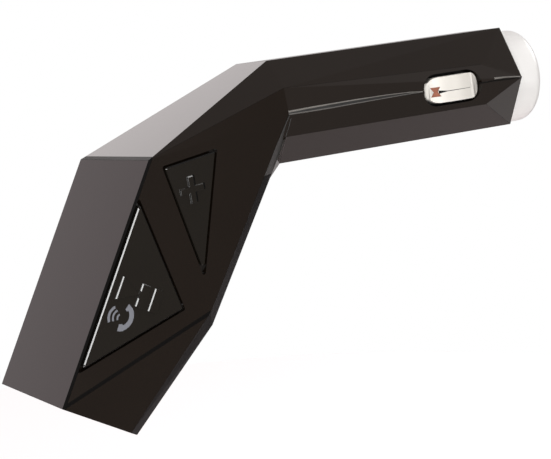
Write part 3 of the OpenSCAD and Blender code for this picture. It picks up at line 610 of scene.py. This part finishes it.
# %% Lay a sign of bands on the side face
def printed_bands(name, bands, lift, body):
    """A sign of bands: centre along, centre up, inner and outer radius, from and to degrees."""
    sign = joined([curved_band(*band) for band in bands], name)
    only(sign)
    bpy.ops.object.mode_set(mode="EDIT")
    bpy.ops.mesh.select_all(action="SELECT")
    bpy.ops.mesh.remove_doubles(threshold=0.001)
    bpy.ops.mesh.normals_make_consistent(inside=False)
    bpy.ops.object.mode_set(mode="OBJECT")
    wall = sign.modifiers.new("print", "SOLIDIFY")
    wall.thickness = print_thick
    wall.offset = 0
    bpy.ops.object.modifier_apply(modifier="print")
    origin, out_step = on_side(0, 0, lift), out_near * mm
    along_step, up_step = on_side(1, 0, lift) - origin, on_side(0, 1, lift) - origin
    steps = Matrix((along_step, up_step, out_step)).transposed()
    sign.matrix_world = Matrix.Translation(origin) @ steps.to_4x4()
    only(sign)
    bpy.ops.object.transform_apply(location=True, rotation=True, scale=True)
    sign.data.materials.append(print_grey)
    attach(sign, body)
    print(name, "faces:", len(sign.data.polygons))


# %% Handset and waves
handset = (3.95, -21.92)
handset_bands = ((*handset, 1.35, 2.10, 52, -58), (*handset, 1.10, 2.05, 74, 52),
                 (*handset, 1.15, 2.18, -58, -86))
wave_rise, wave_start, wave_stop = -22.22, 130, 222
wave_bands = [(along, wave_rise, inner, outer, wave_start, wave_stop) for along, inner, outer in
              ((4.02, 0.455, 0.725), (3.79, 0.96, 1.26), (3.54, 1.37, 1.77))]
printed_bands("print_handset", handset_bands, play_top + print_lift, "play_key")
printed_bands("print_waves", wave_bands, play_top + print_lift, "play_key")

# %% [markdown]
# ## The seam
# The two housing shells meet along the ridges of the arm and down the back edges of the head.
# Near the head the joint shows as a low matt land with a bead on each side of it, which
# narrows towards the contact; the beads' grey is painted highlight. Past the contact, at the
# arm's tip, it shows as a line of painted highlight over a line of painted shade. The thin
# beads down the back edges carry a painted sheen. A bead is a small ring that is extruded
# from point to point.

# %% Finishes of the seam: painted highlight, painted sheen and a matt land
# The first two are painted highlights for the beads, the third the land's matt plastic, the last a
# painted sheen.
seam_painted_highlight = finish("seam_painted_highlight", (0.22, 0.207, 0.19), 0.0, 0.28, bump=0.25, grain=2500,
                   spread=0.08, tint=0.5)
seam_painted_dim_highlight = finish("seam_painted_dim_highlight", (0.14, 0.133, 0.124), 0.0, 0.32, bump=0.25, grain=2500,
                     spread=0.08, tint=0.4)
seam_matt = finish("seam_matt", (0.020, 0.019, 0.018), 0.0, 0.4, bump=0.1, tint=0.2)
seam_painted_sheen = finish("seam_painted_sheen", (0.055, 0.052, 0.05), 0.0, 0.4, bump=0.1, tint=0.2)

# %% [markdown]
# In the inner corner, where the head's back meets the arm, the strip down the back gets the
# lighter grey of the back beads' painted sheen. It is one long face, so it is cut across
# first, and its upper piece gets that finish. The small wall beside it, which faces as the
# window does, gets the paler grey of the beads' painted highlight.

# %% The painted sheen in the inner corner
sheen_x, sheen_low, sheen_high = (-48 * mm, -42 * mm), -8.5 * mm, -1.5 * mm
small_wall_way, small_wall_area = Vector((-0.871, 0, 0.491)), 0.5 * mm * mm
only(housing_rear)
housing_rear.data.materials.append(seam_painted_sheen)
housing_rear.data.materials.append(seam_painted_highlight)
bpy.ops.object.mode_set(mode="EDIT")
bpy.ops.mesh.select_mode(type="FACE")
bpy.ops.mesh.select_all(action="DESELECT")
shape = bmesh.from_edit_mesh(housing_rear.data)
for face in shape.faces:
    face.select_set(down_the_back(face))
bmesh.update_edit_mesh(housing_rear.data)
bpy.ops.mesh.bisect(plane_co=(0, 0, sheen_low), plane_no=(0, 0, 1))
bpy.ops.object.mode_set(mode="OBJECT")
# Painted sheen on the strip's upper piece, painted highlight on the small wall.
sheen_painted = 0
for face in housing_rear.data.polygons:
    middle = face.center
    if sheen_x[0] < middle.x < sheen_x[1] and sheen_low < middle.z < sheen_high:
        if down_the_back(face):
            face.material_index = 2
            sheen_painted += 1
        elif face.normal.dot(small_wall_way) > 0.98 and face.area > small_wall_area:
            face.material_index = 3
            sheen_painted += 1
print("worn faces in the inner corners:", sheen_painted)


# %% Draw a bead
def bead(points, radius, end_radius, shade):
    """A thin round bead through a few points in millimetres, narrowing to its end radius."""
    places = [Vector(point) * mm for point in points]
    first_turn = (places[1] - places[0]).to_track_quat("Z", "Y").to_euler()
    bpy.ops.object.select_all(action="DESELECT")
    bpy.ops.mesh.primitive_circle_add(vertices=8, radius=radius * mm, fill_type="NGON",
                                      location=places[0], rotation=first_turn)
    piece = bpy.context.active_object
    bpy.ops.object.transform_apply(location=True, rotation=True)
    bpy.ops.object.mode_set(mode="EDIT")
    bpy.ops.mesh.select_all(action="SELECT")
    taper = (end_radius / radius) ** (1 / (len(places) - 1))
    for before, after in zip(places, places[1:]):
        bpy.ops.mesh.extrude_region_move(TRANSFORM_OT_translate={"value": after - before})
        bpy.ops.transform.resize(value=(taper, taper, taper), center_override=after)
    bpy.ops.mesh.select_all(action="SELECT")
    bpy.ops.mesh.normals_make_consistent(inside=False)
    bpy.ops.object.mode_set(mode="OBJECT")
    bpy.ops.object.shade_smooth_by_angle(angle=math.radians(50))
    piece.data.materials.append(shade)
    return piece


# %% The land between the beads
def land(upper, lower, deep):
    """A thin strip between two lines of places in millimetres, let into the ridge."""
    bpy.ops.object.select_all(action="DESELECT")
    bpy.ops.mesh.primitive_grid_add(x_subdivisions=len(upper) - 1, y_subdivisions=1, size=1.0)
    piece = bpy.context.active_object
    for corner, place in zip(piece.data.vertices, (*lower, *upper)):
        corner.co = Vector(place) * mm
    thickened(piece, (0, deep * mm, 0))
    piece.data.materials.append(seam_matt)
    return piece


# %% Lines along the ridge
upper_lean, lower_lean = 0.15, 0.237


def on_ridge(line, turned, proud=0.0):
    """Places on the arm's ridge from pairs of x and rise, all in millimetres.

    Above the ridge's edge the facet leans in slowly, and below it faster.
    """
    places = []
    for x, rise in line:
        leans_in = upper_lean * rise if rise > 0 else -lower_lean * rise
        places.append((x, -(arm_width / 2 - leans_in + proud) * turned, rise))
    return places


def mirrored(line, turned):
    """Places as they are, or on the far side."""
    return [(x, y * turned, z) for x, y, z in line]


# %% The lines of the seam
upper_line = ((-42.0, 0.30), (-38.5, 0.41), (-34.6, 0.48), (-30.0, 0.52),
              (-25.0, 0.50), (-21.0, 0.38), (-18.5, 0.18))
lower_line = ((-42.0, -0.08), (-38.5, -0.12), (-34.6, -0.10), (-30.0, 0.0),
              (-25.0, 0.07), (-21.0, 0.13), (-18.5, 0.12))
tip_highlight_line = ((-5.2, 0.45), (-3.0, 0.38), (-0.3, 0.12))
tip_shade_line = ((-8.1, 0.05), (-5.0, 0.08), (-0.3, -0.08))
back_line = ((-41.9, -10.22, -0.3), (-44.5, -10.28, -4.07), (-47.0, -10.34, -7.98))
corner_line = ((-41.6, -10.08, -0.7), (-42.1, -9.75, -2.1), (-42.6, -9.4, -3.4))
land_proud, land_depth, bead_proud = 0.05, 0.2, 0.04

# %% Build both seams
# The beads carry painted highlight and painted sheen, and the tip's lower bead painted shade.
for side_name, turned in (("near", 1), ("far", -1)):
    seam_parts = [
        land(on_ridge(upper_line, turned, land_proud),
             on_ridge(lower_line, turned, land_proud), land_depth * turned),
        bead(on_ridge(upper_line, turned, bead_proud), 0.16, 0.05, seam_painted_highlight),
        bead(on_ridge(lower_line, turned, bead_proud), 0.12, 0.05, seam_painted_dim_highlight),
        bead(mirrored(back_line, turned), 0.07, 0.03, seam_painted_sheen),
        bead(mirrored(corner_line, turned), 0.07, 0.04, seam_painted_sheen),
        bead(on_ridge(tip_highlight_line, turned), 0.17, 0.1, seam_painted_highlight),
        bead(on_ridge(tip_shade_line, turned), 0.1, 0.1, painted_shade_black)]
    seam = joined(seam_parts, "seam_" + side_name)
    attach(seam, "housing")
    print(seam.name, "faces:", len(seam.data.polygons))

# %% [markdown]
# ## The side contacts
# Each contact is a pressed sheet of plated metal: a domed window in the slot, on a flange that
# stays in the dark behind the wall and gets the dark finish as painted shade. A small waisted
# notch near one end shows the bare copper under the plating, and a fine fold runs along the
# dome from it, whose cut faces carry painted shade. Both could be drawn by insets, but they
# cross many narrow faces of the dome, so a Boolean cuts them out more cleanly.

# %% Finish of the bare copper
notch_copper = finish("notch_copper", (0.27, 0.085, 0.042), 0.3, 0.4, bump=0.3, grain=2500,
                      tint=0.5)
dome_middle, dome_axis, dome_radius = -12.9, 3.5, 7.7

# %% The waisted notch
notch_outline = ((-0.8, 0.75), (-0.3, 0.0), (-0.8, -0.75), (0.85, -0.75), (0.35, 0.0), (0.8, 0.75))
notch_along, notch_rise, notch_depth, notch_height = -3.45, -0.25, 0.22, 1.0


def notch_cutter(turned):
    """A waisted prism that dips into the dome near its end."""
    corners = [Vector((along, 0, up)) * mm for along, up in notch_outline]
    piece = prism(corners, (0, -notch_height * mm, 0))
    lie, reach = math.asin(notch_along / dome_radius), dome_radius - notch_depth
    place = Vector((dome_middle + reach * math.sin(lie),
                    -dome_axis - reach * math.cos(lie), notch_rise)) * mm
    piece.matrix_world = (Matrix.Diagonal((1, turned, 1, 1)) @ Matrix.Translation(place) @
                          Matrix.Rotation(lie, 4, "Z"))
    return piece


# %% The fold
fold_start, fold_stop, fold_rise = math.radians(-23), math.radians(21), -0.3
fold_section = ((-0.14, -0.2), (0.6, -0.2), (-0.14, 0.2), (0.6, 0.2))


def fold_cutter(turned):
    """A ring section cut out in painted shade: a dark wedge by the notch, thinning to a scratch.
    """
    bpy.ops.object.select_all(action="DESELECT")
    bpy.ops.mesh.primitive_plane_add(size=1.0)
    piece = bpy.context.active_object
    for corner, (out, up) in zip(piece.data.vertices, fold_section):
        reach = dome_radius + out
        corner.co = Vector((reach * math.sin(fold_start), -reach * math.cos(fold_start), up)) * mm
    bpy.ops.object.mode_set(mode="EDIT")
    bpy.ops.mesh.select_all(action="SELECT")
    bpy.ops.mesh.spin(steps=16, angle=fold_start - fold_stop, center=(0, 0, 0), axis=(0, 0, 1))
    bpy.ops.mesh.select_all(action="SELECT")
    bpy.ops.mesh.remove_doubles(threshold=0.000001)
    bpy.ops.mesh.normals_make_consistent(inside=False)
    bpy.ops.object.mode_set(mode="OBJECT")
    for corner in piece.data.vertices:
        angle = math.atan2(corner.co.x, -corner.co.y)
        share = (angle - fold_start) / (fold_stop - fold_start)
        wedge, scratch = 1.3 - 4.2 * share, 0.3 - 0.15 * share
        corner.co.z *= max(wedge, scratch)
    place = Vector((dome_middle, -dome_axis, fold_rise)) * mm
    piece.matrix_world = Matrix.Diagonal((1, turned, 1, 1)) @ Matrix.Translation(place)
    return piece


# %% Plated contacts
# The flange's faces, inside the flange line, get painted shade.
metal_pieces, flange_line = [], 8.0 * mm
for node, turned in (("near_side_contact", 1), ("far_side_contact", -1)):
    contact = twin(node, node + "_plated", node)
    contact.data.materials.append(painted_shade_black)
    contact.data.materials.append(notch_copper)
    for cutter, shade_index in ((fold_cutter(turned), 1), (notch_cutter(turned), 2)):
        only(cutter)
        bpy.ops.object.transform_apply(location=True, rotation=True, scale=True)
        bpy.ops.object.mode_set(mode="EDIT")
        bpy.ops.mesh.select_all(action="SELECT")
        bpy.ops.mesh.normals_make_consistent(inside=False)
        bpy.ops.object.mode_set(mode="OBJECT")
        for shade in (contact_metal, painted_shade_black, notch_copper):
            cutter.data.materials.append(shade)
        for face in cutter.data.polygons:
            face.material_index = shade_index
        cut(contact, cutter)
    for face in contact.data.polygons:
        if abs(face.center.y) < flange_line:
            face.material_index = 1
    only(contact)
    bpy.ops.object.shade_smooth_by_angle(angle=math.radians(20))
    metal_pieces.append(contact)
    print(contact.name, "faces:", len(contact.data.polygons))

# %% [markdown]
# ## The metal nose
# The nose cap and the sprung pin in it are turned from plated metal, so they are smooth round
# and have softly broken edges. Only the sharp edges get a bevel, and the rest is shaded smooth.
# A Subdivision Surface would round them too, but it would also soften the turned steps.

# %% Turned metal
for node, body, width in (("nose_cap", "housing", 0.12 * mm),
                          ("centre_contact", "centre_contact", 0.06 * mm)):
    turned_piece = twin(node, node + "_turned", body)
    rounded_edges(turned_piece, width, segments=2, min_angle=35)
    bpy.ops.object.shade_smooth_by_angle(angle=math.radians(25))
    metal_pieces.append(turned_piece)

# %% [markdown]
# ## The pin's spring
# A coil spring behind the pin pushes it out, and the pin goes in by 1.3 mm. The spring is a
# copy of the CAD node, shaded smooth, with a mesh of its own.

# %% The spring
spring = twin("contact_spring", "spring_coil", "housing")
only(spring)
bpy.ops.object.shade_smooth_by_angle(angle=math.radians(70))
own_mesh(spring)

# %% [markdown]
# ## The case screws
# Two small screws hold the rear cover. Each head gets a cross recess for the driver: a
# cross-shaped prism is drawn from one ring of twelve corners, extruded and cut out.

# %% Cross recesses
backward = -face_out
upward = (on_head(0, 0, 1) - on_head(0, 0, 0)).normalized()
screw_edge, between_screws = 0.12 * mm, -15 * mm
screws = twin("case_screws", "case_screws_crossed", "housing")
rounded_edges(screws, screw_edge, segments=2, min_angle=50)
recess_start, recess_depth, arm, half = 0.1, 0.75, 1.05, 0.2
cross = ((arm, -half), (arm, half), (half, half), (half, arm), (-half, arm), (-half, half),
         (-arm, half), (-arm, -half), (-half, -half), (-half, -arm), (half, -arm), (half, -half))
for upper in (True, False):
    corners = [corner.co for corner in screws.data.vertices
               if (corner.co.z > between_screws) == upper]
    crown = max(backward.dot(place) for place in corners)
    ring = [place for place in corners if backward.dot(place) > crown - touch]
    middle = sum(ring, Vector()) / len(ring)
    recess = [middle + (Vector((0, across, 0)) + upward * up + backward * recess_start) * mm
              for across, up in cross]
    cut(screws, prism(recess, backward * -recess_depth * mm))
print("screw faces:", len(screws.data.polygons))

# %% [markdown]
# ## The port's contact strips
# On its front face the port's tongue carries four plated strips. One strip is drawn as a thin
# raised plate with softened edges and copied three times across the tongue.

# %% Where the tongue is
end_depth = 0.05
tongue_places = [corner.co - brow for corner in nodes["usb_tongue"].data.vertices]
tongue_end = min(upward.dot(place) for place in tongue_places) / mm
tongue_front = min(backward.dot(place) for place in tongue_places
                   if upward.dot(place) / mm < tongue_end + end_depth) / mm
print("tongue end and front in mm:", round(tongue_end, 2), round(tongue_front, 2))

# %% Four strips
contact_gold = finish("contact_gold", (0.78, 0.56, 0.22), 1.0, 0.25, bump=0.01, tint=0.05)
strip_rows = (-3.5, -1.0, 1.0, 3.5)
strip_corners = ((-0.5, 0.9), (0.5, 0.9), (-0.5, 8.4), (0.5, 8.4))
strip_sunk, strip_thick, strip_edge = 0.03, 0.15, 0.04 * mm
bpy.ops.object.select_all(action="DESELECT")
bpy.ops.mesh.primitive_plane_add(size=1.0)
first_strip = bpy.context.active_object
for corner, (across, rise) in zip(first_strip.data.vertices, strip_corners):
    corner.co = on_head(tongue_front + strip_sunk, strip_rows[0] + across, tongue_end + rise)
thickened(first_strip, face_out * strip_thick * mm)
bpy.ops.object.mode_set(mode="EDIT")
bpy.ops.mesh.select_all(action="SELECT")
bpy.ops.mesh.bevel(offset=strip_edge, segments=2)
bpy.ops.object.mode_set(mode="OBJECT")
first_strip.data.materials.append(contact_gold)
strips = [first_strip]
for y in strip_rows[1:]:
    strip = bpy.data.objects.new("port_strip", first_strip.data.copy())
    bpy.context.scene.collection.objects.link(strip)
    for corner in strip.data.vertices:
        corner.co.y += (y - strip_rows[0]) * mm
    strips.append(strip)
port_strips = joined(strips, "port_strips")
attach(port_strips, "housing")
print("strips:", len(strips))

# %% [markdown]
# ## The floor
# A plain pale floor lies well below the transmitter, which hangs in the air as it would in
# its socket. It reaches further behind the transmitter than before it, so that the dark side
# faces mirror the room and the underside mirrors the floor. To the camera a share of white is
# mixed in, which makes it look like paper and keeps the soft shadow.

# %% Floor
floor_drop, floor_radius, floor_x, floor_y = 0.06, 0.21, -0.05, 0.17
paper_share, paper_strength = 0.5, 1.43
bpy.ops.mesh.primitive_circle_add(vertices=96, radius=floor_radius, fill_type="NGON",
                                  location=(floor_x, floor_y, cad_low.z - floor_drop))
floor = bpy.context.active_object
floor.name = "floor"
bpy.ops.object.transform_apply(location=True)
floor_mat = bpy.data.materials.new("floor_paper")
floor_mat.use_nodes = True
floor_tree = floor_mat.node_tree
floor_shader = floor_tree.nodes["Principled BSDF"]
floor_shader.inputs["Base Color"].default_value = (1.0, 0.91, 0.925, 1)
floor_shader.inputs["Roughness"].default_value = 0.9
floor_path = floor_tree.nodes.new("ShaderNodeLightPath")
white_share = floor_tree.nodes.new("ShaderNodeMath")
white_share.operation = "MULTIPLY"
white_share.inputs[1].default_value = paper_share
floor_tree.links.new(floor_path.outputs["Is Camera Ray"], white_share.inputs[0])
white = floor_tree.nodes.new("ShaderNodeEmission")
white.inputs["Strength"].default_value = paper_strength
floor_mix = floor_tree.nodes.new("ShaderNodeMixShader")
floor_out = floor_tree.nodes["Material Output"]
floor_tree.links.new(white_share.outputs["Value"], floor_mix.inputs["Fac"])
floor_tree.links.new(floor_shader.outputs["BSDF"], floor_mix.inputs[1])
floor_tree.links.new(white.outputs["Emission"], floor_mix.inputs[2])
floor_tree.links.new(floor_mix.outputs["Shader"], floor_out.inputs["Surface"])
floor.data.materials.append(floor_mat)
print("floor at z in mm:", round((cad_low.z - floor_drop) / mm, 1))

# %% [markdown]
# ## The room
# Black gloss shows the room more than it shows itself, so the room decides how the faces
# look. It is bright behind the transmitter and dim on the camera's side, with soft patches
# of light in between. To the camera itself the room is plain white.

# %% World
world = bpy.data.worlds.new("studio")
bpy.context.scene.world = world
world.use_nodes = True
sky = world.node_tree
for node in list(sky.nodes):
    sky.nodes.remove(node)
direction = sky.nodes.new("ShaderNodeTexCoord")


def patch(way, cos_out, cos_in, strength):
    """A soft round patch of the room, seen along a way from the transmitter."""
    dot = sky.nodes.new("ShaderNodeVectorMath")
    dot.operation = "DOT_PRODUCT"
    dot.inputs[1].default_value = Vector(way).normalized()
    sky.links.new(direction.outputs["Generated"], dot.inputs[0])
    level = sky.nodes.new("ShaderNodeMapRange")
    level.interpolation_type = "SMOOTHSTEP"
    level.inputs["From Min"].default_value = cos_out
    level.inputs["From Max"].default_value = cos_in
    level.inputs["To Min"].default_value = 0.0
    level.inputs["To Max"].default_value = strength
    sky.links.new(dot.outputs["Value"], level.inputs["Value"])
    return level.outputs["Result"]


def added(first, second):
    """The sum of two brightnesses of the room."""
    total = sky.nodes.new("ShaderNodeMath")
    total.operation = "ADD"
    for socket, value in zip(total.inputs, (first, second)):
        if isinstance(value, float):
            socket.default_value = value
        else:
            sky.links.new(value, socket)
    return total.outputs["Value"]


# %% Patches of light, and white for the camera
# Each patch has the way it lies, the cosines of its outer and inner rim, and its strength
patches = (((-0.1, 0.95, 0.25), 0.15, 0.8, 0.34), ((0.22, 0.92, 0.32), 0.93, 0.985, 0.8),
           ((0.48, -0.85, 0.22), 0.975, 0.995, 0.17), ((0.45, -0.35, 0.82), 0.75, 0.97, 0.16),
           ((0.571, -0.696, 0.437), 0.985, 0.997, 0.3),
           ((0.475, -0.765, -0.435), 0.98, 0.997, 0.15),
           ((0.743, -0.092, -0.663), 0.975, 0.995, 0.75))
brightness = 0.17
for way, cos_out, cos_in, strength in patches:
    brightness = added(patch(way, cos_out, cos_in, strength), brightness)
room = sky.nodes.new("ShaderNodeBackground")
room.inputs["Color"].default_value = (1.0, 0.94, 0.935, 1)
sky.links.new(brightness, room.inputs["Strength"])
paper = sky.nodes.new("ShaderNodeBackground")
paper.inputs["Color"].default_value = (1, 1, 1, 1)
ray = sky.nodes.new("ShaderNodeLightPath")
choose = sky.nodes.new("ShaderNodeMixShader")
sky.links.new(ray.outputs["Is Camera Ray"], choose.inputs["Fac"])
sky.links.new(room.outputs["Background"], choose.inputs[1])
sky.links.new(paper.outputs["Background"], choose.inputs[2])
sky_out = sky.nodes.new("ShaderNodeOutputWorld")
sky.links.new(choose.outputs["Shader"], sky_out.inputs["Surface"])
print("patches of light:", len(patches))

# %% [markdown]
# ## The lamps
# Black gloss and pale metal need different light. Four large soft lamps, above, to the right,
# beside the camera and below it, give the plain even light that the round metal nose needs, and
# hang where no flat face mirrors them into the camera. Three small ones hang just where the
# keys' narrow bevels and the seam's beads mirror them, which draws the bright lines. A lamp's
# mirror image is as bright as its power for its area, so a small lamp draws a bright line with
# little light on the rest.

# %% Lamps
lamp_aim = Vector((-0.035, 0, -0.01))


def lamp(name, way, distance, wide, high, power):
    """A soft rectangular lamp that faces the transmitter from a way."""
    data = bpy.data.lights.new(name, "AREA")
    data.shape = "RECTANGLE"
    data.size, data.size_y = wide, high
    data.energy = power
    obj = bpy.data.objects.new(name, data)
    bpy.context.scene.collection.objects.link(obj)
    toward = Vector(way).normalized()
    obj.location = lamp_aim + toward * distance
    obj.rotation_euler = toward.to_track_quat("Z", "Y").to_euler()
    obj.visible_camera = False
    print(name, "radiates", round(power / (wide * high), 1), "W per square metre")
    return obj


lamp("top_lamp", (-0.25, -0.25, 0.9), 0.7, 0.45, 0.45, 1.45)
lamp("right_lamp", (0.88, 0.02, 0.44), 0.6, 0.3, 0.3, 1.2)
lamp("fill_lamp", (-0.25, -0.87, 0.1), 0.7, 0.35, 0.35, 1.3)
lamp("low_lamp", (-0.25, -0.8, -0.5), 0.7, 0.35, 0.35, 2.1)
lamp("ridge_lamp", (0.49, -0.865, -0.1), 0.6, 0.14, 0.14, 0.3)
edge_lamp = lamp("edge_lamp", (-0.617, -0.681, 0.36), 0.6, 0.07, 0.14, 0.55)
sign_lamp = lamp("sign_lamp", (0.49, -0.21, 0.84), 0.6, 0.12, 0.12, 0.26)

# %% [markdown]
# Seen from other sides, the window and the housing would mirror the last two lamps as white
# sheets. A photographer would flag the lamps off them with a small screen. Here the edge lamp is
# linked to the keys and the metal alone, and the sign lamp to the keys.

# %% Flag the small lamps
for small_lamp, pieces in ((edge_lamp, (*keys.values(), *metal_pieces)),
                           (sign_lamp, keys.values())):
    lit = bpy.data.collections.new("lit_by_" + small_lamp.name)
    for piece in pieces:
        lit.objects.link(piece)
    small_lamp.light_linking.receiver_collection = lit
